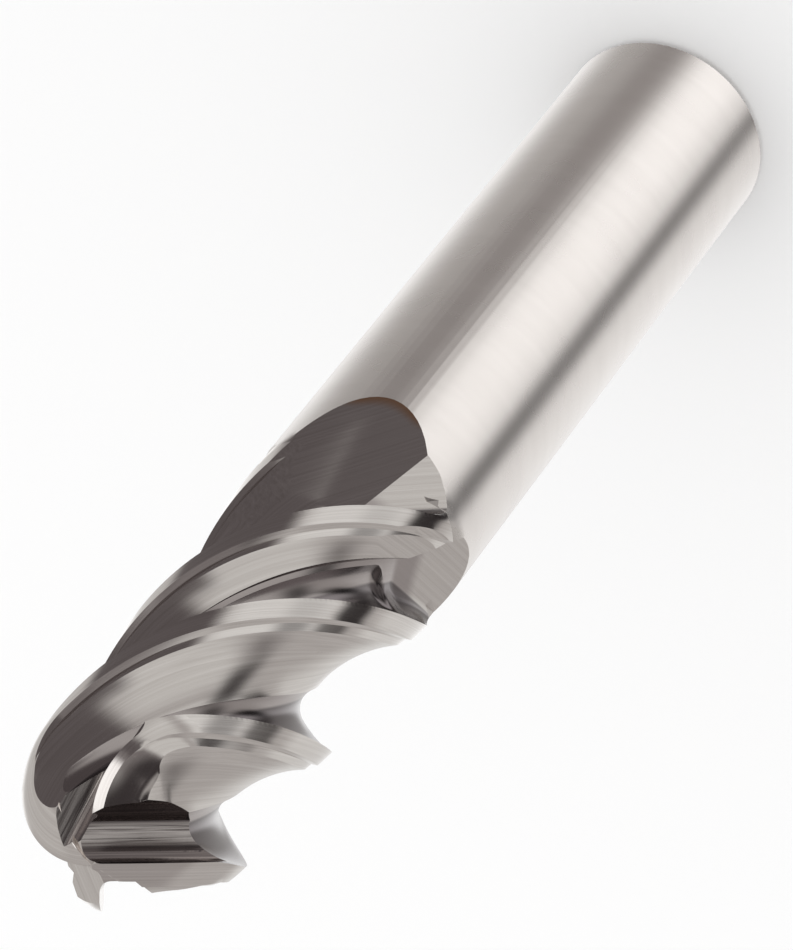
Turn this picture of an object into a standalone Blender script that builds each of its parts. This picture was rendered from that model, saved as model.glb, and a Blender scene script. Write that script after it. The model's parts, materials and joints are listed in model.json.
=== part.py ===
"""Ball nose end mill: four helical flutes, relieved lands, gashed ball end, plain round shank.

Metres, +Z up. The tool stands on its shank end at z = 0 with its nose up. Heights in the functions are
mostly given as "down", the distance below the nose. Angles are in degrees, counted anticlockwise seen
from the nose. Each tooth's edge runs back (to lower angles) going down from the nose, so the helix is
right handed, and "behind" an edge means at lower angles, "ahead" means at higher ones.
"""
import math

import bmesh
import bpy
import numpy as np

# Driving sizes of the tool
CUT_DIAMETER = 0.012
SHANK_DIAMETER = 0.012
OVERALL_LENGTH = 0.075
CUT_LENGTH = 0.0306
SHANK_CHAMFER = 0.0005

# Teeth: unequal spacing and unequal helix, which keep the tool from chattering
TOOTH_INDEX = (0.0, 85.5, 180.0, 274.0)
TOOTH_HELIX = (40.3, 44.0, 40.3, 42.5)
FIRST_EDGE_TURN = 4.5

# Lands behind each edge: primary land, ground step, secondary land
LAND_WIDTH = 0.00142
LAND_RELIEF = 7.0
STEP_WIDTH = 0.00018
STEP_DEPTH = 0.00028
SECOND_LAND_WIDTH = 0.0011
SECOND_RELIEF = 9.0
NOSE_LAND_WIDTH = (0.0016, 0.00073, 0.0012, 0.00125)
NOSE_SECOND_RELIEF = (9.0, 35.5, 60.0, 60.0)
NOSE_SECOND_WIDTH = (0.0014, 0.00105, 0.00045, 0.00045)
NOSE_FRONT_WIDTH = 0.0005
LAND_RUNOUT = 0.0005

# Flutes: rake face with its root, flat floor beside the core, flat back of the tooth ahead
RAKE_ANGLE = 10.0
ROOT_RADIUS = 0.0018
CORE_DIAMETER = 0.00635
FLOOR_DEPTH = 0.00348
FLOOR_ANGLE = 8.6
FLOOR_REACH = 0.0023
FLOOR_FLANK = 60.0
BACK_DEPTH = 0.00346
BACK_ANGLE = 70.4
BACK_CROWN = 0.00006
CROWN_SPAN = (0.0007, 0.0045)
BACK_DIP_START = 0.0031
BACK_DIP_SLOPE = 15.7
BACK_DIP_LIMIT = 0.003

# Where the wheels leave the work at the shank end of the flutes
BACK_EXIT_START = 0.028
BACK_EXIT_SLOPE = 20.3
FLOOR_EXIT_START = 0.0278
FLOOR_EXIT_SLOPE = 28.5
ROOT_EXIT_START = 0.0262
ROOT_EXIT_SLOPE = 35.0

# Gashes that open the ball end in front of each tooth
GASH_TURN = (46.6, 46.6, 46.6, 59.7)
GASH_TILT = (32.6, 32.6, 32.6, 23.5)
GASH_ANGLE = 55.0
GASH_AHEAD = (0.00005, -0.0003, 0.00005, 0.00029)
GASH_REACH = (0.00002, -0.00105, 0.00002, -0.00081)
GASH_CORNER_RADIUS = (0.0005, 0.00025, 0.0005, 0.00063)
GASH_WIDTH = (0.00203, 0.00161, 0.00203, 0.00182)
GASH_FLOOR_RISE = (15.0, 0.0, 15.0, 0.0)
GASH_FAR_WALL_ANGLE = (34.0, 27.5, 34.0, 47.5)

# Fineness of the mesh
NOSE_RINGS = 11
RING_STEP = 0.0006
BACK_KNOTS = (0.0, 0.11, 0.21, 0.31, 0.41, 0.50, 0.57, 0.64, 1.0)
RAKE_KNOTS = (1.0, 0.53, 0.39)
ROOT_SEGMENTS = 8
FLOOR_SEGMENTS = 2
FILL_COLUMNS = 7
CORNER_SEGMENTS = 4

CARBIDE_COLOUR = (0.62, 0.60, 0.59, 1.0)
CARBIDE_ROUGHNESS = 0.25

BALL_RADIUS = CUT_DIAMETER / 2
CUT_RADIUS = CUT_DIAMETER / 2
SHANK_RADIUS = SHANK_DIAMETER / 2
TEETH = len(TOOTH_INDEX)
CLEAR = 1.25 * max(CUT_RADIUS, SHANK_RADIUS)
AHEAD_MARGIN = 4.0
EDGE_MARGIN = 0.5
FRONT_LIMIT = 18.0
BLEND_START = 50.0
STEP_FADE = 30.0
LEAST_STEP = 0.15
CROWDING_START = 36.0
CROWDING_ROOM = 12.0
DEPTH_LIMIT = 0.34
LEVEL_START = 25.0
LEVEL_SPAN = 20.0
FIRST_RING_SHARE = 0.4
SHANK_BLEND = 0.0019
GRID_TOLERANCE = 1e-6
SWEEP_ABOVE = 0.0018
GASH_RUN = (-0.0072, 0.0168)
SHARP_ANGLE = 25.0


def sind(angle):
    return math.sin(math.radians(angle))


def cosd(angle):
    return math.cos(math.radians(angle))


def tand(angle):
    return math.tan(math.radians(angle))


def acosd(value):
    return math.degrees(math.acos(max(-1.0, min(1.0, value))))


def polar(radius, angle):
    """Point of a section, as complex number, from its radius and its angle."""
    return radius * complex(cosd(angle), sind(angle))


def helix_angle_at(tooth, down):
    """Angle of a tooth's edge at a height: its index at the ball's equator, turned by its lead."""
    lead = math.pi * CUT_DIAMETER / tand(TOOTH_HELIX[tooth])
    return FIRST_EDGE_TURN - TOOTH_INDEX[tooth] - 360.0 * (down - BALL_RADIUS) / lead


def gash_azimuth(tooth):
    """Angle towards which the normal of a tooth's gash face leans, which is behind the tooth."""
    return helix_angle_at(tooth, BALL_RADIUS) - GASH_TURN[tooth]


def ball_angle_behind(tooth, polar_angle, distance):
    """Angle on a ring of the ball that lies a distance behind the plane of the tooth's gash face."""
    drop = sind(GASH_TILT[tooth]) * (1.0 - cosd(polar_angle))
    across = (distance / BALL_RADIUS + drop) / (cosd(GASH_TILT[tooth]) * sind(polar_angle))
    return gash_azimuth(tooth) + acosd(across)


def smooth(value):
    value = max(0.0, min(1.0, value))
    return value * value * (3.0 - 2.0 * value)


def tooth_columns(tooth, down, polar_angle):
    """Angles of the columns of one tooth on a ring, and how far each lies below the round form.

    On the cylinder the widths are measured round the ring. On the ball they are measured square to
    the gash face, and the ground step fades out towards the nose.
    """
    ring_radius = BALL_RADIUS * sind(polar_angle) if polar_angle < 90.0 else CUT_RADIUS
    on_ball = 1.0 - smooth((polar_angle - BLEND_START) / (90.0 - BLEND_START)) if polar_angle < 90.0 else 0.0
    step_share = 1.0 - smooth((90.0 - polar_angle) / STEP_FADE)
    land = LAND_WIDTH + (NOSE_LAND_WIDTH[tooth] - LAND_WIDTH) * on_ball
    step = STEP_WIDTH * (LEAST_STEP + (1.0 - LEAST_STEP) * step_share)
    second = SECOND_LAND_WIDTH + (NOSE_SECOND_WIDTH[tooth] - SECOND_LAND_WIDTH) * on_ball
    second_relief = SECOND_RELIEF + (NOSE_SECOND_RELIEF[tooth] - SECOND_RELIEF) * on_ball
    edge = helix_angle_at(tooth, down)
    front = AHEAD_MARGIN
    if polar_angle < 90.0:
        start = ball_angle_behind(tooth, polar_angle, 0.0)
        edge = min(edge, start)
        in_front = min(ball_angle_behind(tooth, polar_angle, -NOSE_FRONT_WIDTH) - start, FRONT_LIMIT)
        front += (in_front - AHEAD_MARGIN) * on_ball
    angles = []
    for width in (0.0, land / 2, land, land + step, land + step + second / 2, land + step + second):
        behind = math.degrees(width / CUT_RADIUS)
        if polar_angle < 90.0:
            behind += (start - ball_angle_behind(tooth, polar_angle, width) - behind) * on_ball
        crowded = max(0.0, behind - CROWDING_START)
        behind = min(behind, CROWDING_START) + CROWDING_ROOM * (1.0 - math.exp(-crowded / CROWDING_ROOM))
        angles.append(edge + EDGE_MARGIN - behind)
    first = land * tand(LAND_RELIEF)
    stepped = first + STEP_DEPTH * step_share
    fall = second * tand(second_relief)
    limit = DEPTH_LIMIT * ring_radius
    depths = [min(depth, limit) for depth in (0.0, first / 2, first, stepped, stepped + fall / 2, stepped + fall)]
    return [edge + front] + angles, [0.0] + depths


def blank_ring(down, polar_angle, relief):
    """One closed ring of the relieved blank: the columns of every tooth and the fill between them."""
    columns = [tooth_columns(tooth, down, polar_angle) for tooth in range(TEETH)]
    angles, depths = [], []
    for tooth in range(TEETH):
        own, drop = columns[tooth]
        following = columns[(tooth + 1) % TEETH][0][0] - (360.0 if tooth == TEETH - 1 else 0.0)
        last = own[-1]
        fill = [last + (following - last) * (i + 1) / (FILL_COLUMNS + 1) for i in range(FILL_COLUMNS)]
        angles += own + fill
        level = 1.0 - smooth((polar_angle - LEVEL_START) / LEVEL_SPAN)
        depths += drop + [drop[-1] * (1.0 - level * (i + 1) / (FILL_COLUMNS + 1)) for i in range(FILL_COLUMNS)]
    return np.array(angles), np.array(depths) * relief


def ring_heights(first, last):
    """Heights below the nose on the shared grid, whole steps from the ball's equator.

    The lands and the wheels that cut them use the same grid, so that their edges come out smooth.
    """
    start = math.ceil((first - BALL_RADIUS) / RING_STEP - GRID_TOLERANCE)
    end = math.ceil((last - BALL_RADIUS) / RING_STEP - GRID_TOLERANCE)
    return [BALL_RADIUS + i * RING_STEP for i in range(start, end + 1)]


def ring_points(radius, height, angles):
    turn = np.radians(angles)
    return np.stack([radius * np.cos(turn), radius * np.sin(turn), np.full(len(angles), height)], axis=1)


def loft_object(name, rings, collection, apex_start=None, apex_end=None):
    """Closed mesh through a list of rings with as many points each, with flat or pointed ends."""
    mesh = bmesh.new()
    rows = [[mesh.verts.new(point) for point in ring] for ring in rings]
    count = len(rows[0])
    for upper, lower in zip(rows, rows[1:]):
        for i in range(count):
            j = (i + 1) % count
            mesh.faces.new((upper[i], upper[j], lower[j], lower[i]))
    for row, apex in ((rows[0], apex_start), (rows[-1], apex_end)):
        if apex is None:
            mesh.faces.new(row)
            continue
        tip = mesh.verts.new(apex)
        for i in range(count):
            mesh.faces.new((tip, row[i], row[(i + 1) % count]))
    bmesh.ops.recalc_face_normals(mesh, faces=mesh.faces)
    bmesh.ops.triangulate(mesh, faces=mesh.faces)
    data = bpy.data.meshes.new(name)
    mesh.to_mesh(data)
    mesh.free()
    made = bpy.data.objects.new(name, data)
    collection.objects.link(made)
    return made


def build_blank(collection):
    """The tool before fluting: shank with its chamfer, relieved lands on the cylinder and the ball."""
    rings = []
    for i in range(NOSE_RINGS):
        polar_angle = 90.0 * (i + FIRST_RING_SHARE) / NOSE_RINGS
        down = BALL_RADIUS * (1.0 - cosd(polar_angle))
        angles, depths = blank_ring(down, polar_angle, 1.0)
        reach = BALL_RADIUS - depths
        turn = np.radians(angles)
        rings.append(np.stack([
            reach * sind(polar_angle) * np.cos(turn), reach * sind(polar_angle) * np.sin(turn),
            OVERALL_LENGTH - BALL_RADIUS + reach * cosd(polar_angle)], axis=1))
    for down in ring_heights(BALL_RADIUS, CUT_LENGTH):
        angles, depths = blank_ring(down, 90.0, 1.0)
        rings.append(ring_points(CUT_RADIUS - depths, OVERALL_LENGTH - down, angles))
    down += LAND_RUNOUT
    angles, depths = blank_ring(down, 90.0, 0.0)
    rings.append(ring_points(CUT_RADIUS - depths, OVERALL_LENGTH - down, angles))
    columns = len(angles)
    first = round(float(np.mean(angles + 360.0 * np.arange(columns) / columns)) * columns / 360.0)
    even = 360.0 * (first - np.arange(columns)) / columns
    down += SHANK_BLEND
    rings.append(ring_points(SHANK_RADIUS, OVERALL_LENGTH - down, even))
    rings.append(ring_points(SHANK_RADIUS, SHANK_CHAMFER, even))
    rings.append(ring_points(SHANK_RADIUS - SHANK_CHAMFER, 0.0, even))
    return loft_object("end_mill", rings, collection, apex_start=(0.0, 0.0, OVERALL_LENGTH))


def lifted(down, start, slope):
    """How far a wheel has risen out of the work at a height, past the start of its exit."""
    return max(0.0, down - start) * tand(slope)


def floor_line(tooth, down):
    """Angle of the floor's normal from the tooth's edge, and the floor's distance from the axis.

    Past the start of its exit the floor keeps its turn and rises, while the rake face still follows
    the helix, so the wheel leaves a flat facet.
    """
    held = helix_angle_at(tooth, min(down, FLOOR_EXIT_START)) - helix_angle_at(tooth, down)
    return FLOOR_ANGLE + held, FLOOR_DEPTH + lifted(down, FLOOR_EXIT_START, FLOOR_EXIT_SLOPE)


def root_centre(tooth, down):
    """Centre of the root's arc, with the edge at angle 0.

    The arc touches the rake face and reaches the core, until it has risen so far that it touches the
    floor instead.
    """
    lean, depth = floor_line(tooth, down)
    lean -= RAKE_ANGLE
    offset = ROOT_RADIUS - CUT_RADIUS * sind(RAKE_ANGLE)
    reach = CORE_DIAMETER / 2 + lifted(down, ROOT_EXIT_START, ROOT_EXIT_SLOPE) + ROOT_RADIUS
    touching = (depth + ROOT_RADIUS - offset * sind(lean)) / cosd(lean)
    return complex(min(math.sqrt(reach ** 2 - offset ** 2), touching), offset) * polar(1.0, RAKE_ANGLE)


def reach_circle(start, direction, radius):
    """Point where a line of a section leaves a circle about the axis."""
    along = start.real * direction.real + start.imag * direction.imag
    return start + direction * (math.sqrt(along * along + radius * radius - abs(start) ** 2) - along)


def root_section(tooth, down):
    """Section that grinds a rake face and its root: rake face, root arc, flat floor, rising flank."""
    centre = root_centre(tooth, down)
    outside = max(CLEAR, abs(centre) + 2.0 * ROOT_RADIUS)
    start = RAKE_ANGLE - 90.0
    lean, depth = floor_line(tooth, down)
    normal = polar(1.0, lean)
    height = centre.real * normal.real + centre.imag * normal.imag - depth
    end = lean - 180.0 - acosd(height / ROOT_RADIUS)
    arc = [centre + polar(ROOT_RADIUS, start + (end - start) * i / ROOT_SEGMENTS)
           for i in range(ROOT_SEGMENTS + 1)]
    rake_out = reach_circle(arc[0], polar(1.0, RAKE_ANGLE), outside)
    rake = [arc[0] + (rake_out - arc[0]) * knot for knot in RAKE_KNOTS]
    floor_end = normal * complex(depth, FLOOR_REACH)
    floor = [arc[-1] + (floor_end - arc[-1]) * (i + 1) / FLOOR_SEGMENTS for i in range(FLOOR_SEGMENTS)]
    flank_out = reach_circle(floor_end, normal * polar(1.0, 90.0 - FLOOR_FLANK), outside)
    first = math.degrees(math.atan2(flank_out.imag, flank_out.real))
    last = math.degrees(math.atan2(rake_out.imag, rake_out.real))
    closing = [polar(outside, first + (last - first) * i / 3) for i in (1, 2)]
    turn = polar(1.0, helix_angle_at(tooth, down))
    return [point * turn for point in rake + arc + floor + [flank_out] + closing]


def back_section(tooth, down):
    """Section that grinds the flat back of a tooth: a slightly crowned line beside the core.

    It starts over the root of the next tooth behind, and ends outside the tool past the lands. Near
    the nose it falls towards the axis. Past the start of its exit it keeps its turn and rises, which
    leaves a flat.
    """
    following = (tooth + 1) % TEETH
    dip = max(0.0, min(BACK_DIP_START - down, BACK_DIP_LIMIT)) * tand(BACK_DIP_SLOPE)
    lift = lifted(down, BACK_EXIT_START, BACK_EXIT_SLOPE) - dip
    normal = polar(1.0, helix_angle_at(tooth, min(down, BACK_EXIT_START)) - BACK_ANGLE)
    along = normal * 1j
    foot = normal * (BACK_DEPTH + lift)
    root = root_centre(following, down) * polar(1.0, helix_angle_at(following, down))
    first = root.real * along.real + root.imag * along.imag
    last = math.sqrt(CLEAR ** 2 - abs(foot) ** 2)
    middle = (CROWN_SPAN[0] + CROWN_SPAN[1]) / 2
    half = (CROWN_SPAN[1] - CROWN_SPAN[0]) / 2
    line = []
    for share in BACK_KNOTS:
        knot = first + (last - first) * share
        line.append(foot + along * knot + normal * BACK_CROWN * max(0.0, 1.0 - ((knot - middle) / half) ** 2))
    return line + [foot + along * last + normal * CLEAR, foot + along * first + normal * CLEAR]


def sweep_cutter(name, section, tooth, last_down, collection):
    """Cutter through the sections of one wheel, from above the nose to where it is clear."""
    rings = []
    for down in ring_heights(-SWEEP_ABOVE, last_down):
        height = OVERALL_LENGTH - down
        rings.append([(point.real, point.imag, height) for point in section(tooth, down)])
    return loft_object(name, rings, collection)


def gash_cutter(name, tooth, collection):
    """Straight channel that opens the ball end in front of a tooth.

    Its rake wall leans with the helix and holds the line of the ball's cutting edge. A rounded corner
    leads to its floor, which may rise away from that wall, and its far wall leans away.
    """
    azimuth = gash_azimuth(tooth)
    tilt = GASH_TILT[tooth]
    void = np.array([-cosd(tilt) * cosd(azimuth), -cosd(tilt) * sind(azimuth), -sind(tilt)])
    level = np.array([-sind(azimuth), cosd(azimuth), 0.0])
    falling = np.array([sind(tilt) * cosd(azimuth), sind(tilt) * sind(azimuth), -cosd(tilt)])
    run = cosd(GASH_ANGLE) * level + sind(GASH_ANGLE) * falling
    depth = cosd(GASH_ANGLE) * falling - sind(GASH_ANGLE) * level
    tall = CUT_DIAMETER
    ahead = GASH_AHEAD[tooth]
    reach = GASH_REACH[tooth]
    radius = GASH_CORNER_RADIUS[tooth]
    turns = [(90.0 + GASH_FLOOR_RISE[tooth]) * i / CORNER_SEGMENTS for i in range(CORNER_SEGMENTS + 1)]
    corner = [(ahead + radius * (1.0 - cosd(turn)), reach - radius * (1.0 - sind(turn))) for turn in turns]
    far = ahead + GASH_WIDTH[tooth]
    foot = corner[-1][1] - (far - corner[-1][0]) * tand(GASH_FLOOR_RISE[tooth])
    profile = [(ahead, reach - tall)] + corner
    profile += [(far, foot), (far + tall * tand(GASH_FAR_WALL_ANGLE[tooth]), foot - tall)]
    nose = np.array([0.0, 0.0, OVERALL_LENGTH])
    rings = [[nose + void * p + depth * q + run * s for p, q in profile] for s in GASH_RUN]
    return loft_object(name, rings, collection)


def carbide_material():
    material = bpy.data.materials.new("ground_carbide")
    material.use_nodes = True
    shader = material.node_tree.nodes["Principled BSDF"]
    shader.inputs["Base Color"].default_value = CARBIDE_COLOUR
    shader.inputs["Metallic"].default_value = 1.0
    shader.inputs["Roughness"].default_value = CARBIDE_ROUGHNESS
    return material


def main():
    for item in list(bpy.data.objects):
        bpy.data.objects.remove(item, do_unlink=True)
    parts = bpy.data.collections.new("ball_nose_end_mill")
    wheels = bpy.data.collections.new("grinding_cutters")
    bpy.context.scene.collection.children.link(parts)
    bpy.context.scene.collection.children.link(wheels)
    mill = build_blank(parts)

    back_end = BACK_EXIT_START + (CUT_RADIUS - BACK_DEPTH) / tand(BACK_EXIT_SLOPE) + RING_STEP
    root_end = FLOOR_EXIT_START + (CUT_RADIUS - FLOOR_DEPTH) / tand(FLOOR_EXIT_SLOPE) + RING_STEP
    cutters = [sweep_cutter(f"back_wheel_{tooth + 1}", back_section, tooth, back_end, wheels)
               for tooth in range(TEETH)]
    cutters += [sweep_cutter(f"root_wheel_{tooth + 1}", root_section, tooth, root_end, wheels)
                for tooth in range(TEETH)]
    cutters += [gash_cutter(f"gash_wheel_{tooth + 1}", tooth, wheels) for tooth in range(TEETH)]
    for cutter in cutters:
        cutter.hide_render = True
        cutter.display_type = "WIRE"
        cut = mill.modifiers.new(cutter.name, "BOOLEAN")
        cut.operation = "DIFFERENCE"
        cut.solver = "EXACT"
        cut.object = cutter

    ground = bpy.data.meshes.new_from_object(mill.evaluated_get(bpy.context.evaluated_depsgraph_get()))
    ground.name = mill.name
    mill.modifiers.clear()
    mill.data = ground
    ground.shade_smooth()
    ground.set_sharp_from_angle(angle=math.radians(SHARP_ANGLE))
    ground.materials.clear()
    ground.materials.append(carbide_material())


main()
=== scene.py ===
"""Ball nose end mill, ground from a relieved blank by its wheels, standing on a pale studio floor.

The tool stands on its shank end with the nose up, in metres. "Down" is the distance below the nose.
Angles are in degrees, counted anticlockwise seen from the nose. "Behind" a cutting edge means at lower
angles, "ahead" at higher ones, and an edge runs to lower angles going down, so the helix is right handed.
"""
import json
import math

import bpy
import numpy as np
from mathutils import Matrix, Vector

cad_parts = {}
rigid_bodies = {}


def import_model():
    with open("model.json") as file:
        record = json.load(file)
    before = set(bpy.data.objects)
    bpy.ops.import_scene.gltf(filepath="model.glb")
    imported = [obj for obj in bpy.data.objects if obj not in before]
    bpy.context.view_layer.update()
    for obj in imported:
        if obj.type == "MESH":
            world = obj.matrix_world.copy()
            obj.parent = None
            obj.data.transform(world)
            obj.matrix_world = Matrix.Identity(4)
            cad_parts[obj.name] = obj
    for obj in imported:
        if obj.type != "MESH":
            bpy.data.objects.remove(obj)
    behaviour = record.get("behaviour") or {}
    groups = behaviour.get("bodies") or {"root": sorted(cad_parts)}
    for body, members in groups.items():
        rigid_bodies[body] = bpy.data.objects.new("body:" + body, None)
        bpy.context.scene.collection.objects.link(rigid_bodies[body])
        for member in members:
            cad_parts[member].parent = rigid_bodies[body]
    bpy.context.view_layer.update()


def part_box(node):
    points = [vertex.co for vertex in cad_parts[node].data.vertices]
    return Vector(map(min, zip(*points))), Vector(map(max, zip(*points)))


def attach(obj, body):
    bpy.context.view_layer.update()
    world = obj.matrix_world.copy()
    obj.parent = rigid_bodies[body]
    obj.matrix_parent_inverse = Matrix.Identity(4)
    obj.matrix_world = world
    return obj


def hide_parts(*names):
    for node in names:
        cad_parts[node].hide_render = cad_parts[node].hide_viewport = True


bl_info = {
    "name": "Ball Nose End Mill",
    "version": (1, 0, 0),
    "blender": (4, 5, 0),
    "location": "3D View > Sidebar > End Mill",
    "description": "Grinds a ball nose end mill from a relieved blank and sets it in a small studio",
    "category": "Add Mesh",
}

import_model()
NODE_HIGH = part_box("end_mill")[1]
TEETH = 4

# Rows down the tool, in metres, and how finely the other forms are divided
STEP = 0.00025
FINE = 2

# Material slots of the tool, and the slot of each tooth's gash, two of which take painted shade
LAND, SHANK, BACK, ROOT, GASH, SHADED_GASH = range(6)
GASH_SLOT = (GASH, SHADED_GASH, SHADED_GASH, GASH)

# Name of each slot's finish, stretch, colour range and depth of its marks, and its roughness
FINISHES = (
    ("ground_land", (7000.0, 7000.0, 60.0), 0.45, 6e-7, 0.12),
    ("polished_shank", (200.0, 200.0, 900.0), 0.70, 2e-8, 0.27),
    ("ground_back", (5200.0, 5200.0, 60.0), 0.45, 1.2e-6, 0.17),
    ("ground_root", (5600.0, 5600.0, 80.0), 0.45, 1.2e-6, 0.20),
    ("ground_gash", (6000.0, 6000.0, 60.0), 0.45, 1.6e-6, 0.18),
    # Finish of painted shade for two of the gashes
    ("burnt_gash", (6000.0, 6000.0, 60.0), 0.40, 1.6e-6, 0.22),
)

# Polar angles on the ball, in degrees: its end at the cylinder, where its own lands are full, where the
# ground step has gone, and between which the columns that fill up a ring come up to its surface
EQUATOR = 90.0
BALL_LANDS = 50.0
STEP_GONE = 60.0
FILL_LEVEL = (25.0, 45.0)

# Share of its width that the step keeps on the ball, and share of a ring that the lands may fall
LEAST_STEP = 0.15
DEEPEST = 0.34

# Columns of the blank, in degrees: how far ahead of an edge its own start, the angle behind it past which
# they crowd and the room they crowd into, and how far ahead the column in front stands on the cylinder and
# at most on the ball, where it is this far in metres from the gash face
EDGE_SPARE = 0.5
CROWD_START, CROWD_ROOM = 36.0, 12.0
AHEAD_CYLINDER, AHEAD_BALL, AHEAD_GASH = 4.0, 18.0, 0.0005

# Rows in which the columns spread evenly over the shank, and their spacing
SPREAD_ROWS, SPREAD_STEP = 5, 0.0006

# Wheels: how far out they are clear of the tool, in diameters, and where the points of their straight
# sides stand, as shares of each side
CLEAR = 0.625
RAKE_STOPS = np.array([1.0, 0.6, 0.53, 0.46, 0.36, 0.18])
FLANK_STOPS = np.array([0.3, 1.0])
CLOSING_STOPS = np.array([0.33, 0.67])
FACE_END = 0.72

# Middle and half length of a back's crown along its face, and the height over which a back's dip grows
CROWN_MIDDLE, CROWN_HALF = 0.0026, 0.0019
DIP_REACH = 0.003

# How far behind a gash's face the lands still belong to it, in degrees
FACE_SPARE = 20.0

# Angle between faces past which their edge is drawn sharp, in degrees, and least faces of a ground tool
SHARP = 28.0
LEAST_FACES = 1000

# Marks of the wheels: noise at which their colour starts to change, scale and spread of the roughness, and
# shares of the way from the streaks' colour to the carbide's between which the even shank lies
RAMP_START = 0.28
CLOUD_SCALE, CLOUD_SPREAD = 320.0, 0.06
SHANK_SHARES = (0.2, 0.5)

# Heat tint: between which shares of the shank's radius and depths below the nose it grows, and its most
HEAT_NEAR, HEAT_DOWN, HEAT_MOST = (0.955, 0.998), (0.0335, 0.0343), 0.85

# Painted shade on the roots: depths below the nose between which it fades, where the darker painted shade
# of the crease in the arc ends across the wheel, and the most of both
ROOT_SHADE_DOWN, ROOT_SHADE_MOST = (0.0296, 0.0288), 0.8
CREASE_SHADE_EDGE, CREASE_SHADE_MOST = (0.00064, 0.00088), 0.75

# Streaks of bare carbide on the floors of the gashes of painted shade: their ends ahead of the face,
# stretch, and range of their noise
GASH_LIGHT = ((0.0007, 0.0012), (0.00215, 0.0017))
GASH_STRETCH = (9000.0, 9000.0, 240.0)
GASH_STREAKS = (0.25, 0.6)

# Sockets of a Mix node that is set to colours: share, first and second colour, and result
MIX_INPUTS, MIX_OUTPUT = (0, 6, 7), 2


def number(name, about, default, **kind):
    """Property of one number, or of several, such as one for each tooth."""
    if isinstance(default, tuple):
        return bpy.props.FloatVectorProperty(
            name=name, description=about, default=default, size=len(default), **kind)
    return bpy.props.FloatProperty(name=name, description=about, default=default, **kind)


def metres(name, about, default):
    """Property of a length, or of one for each tooth."""
    return number(name, about, default, unit="LENGTH")


def tone(name, about, default):
    """Property of a colour."""
    return number(name, about, default, subtype="COLOR")


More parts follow.
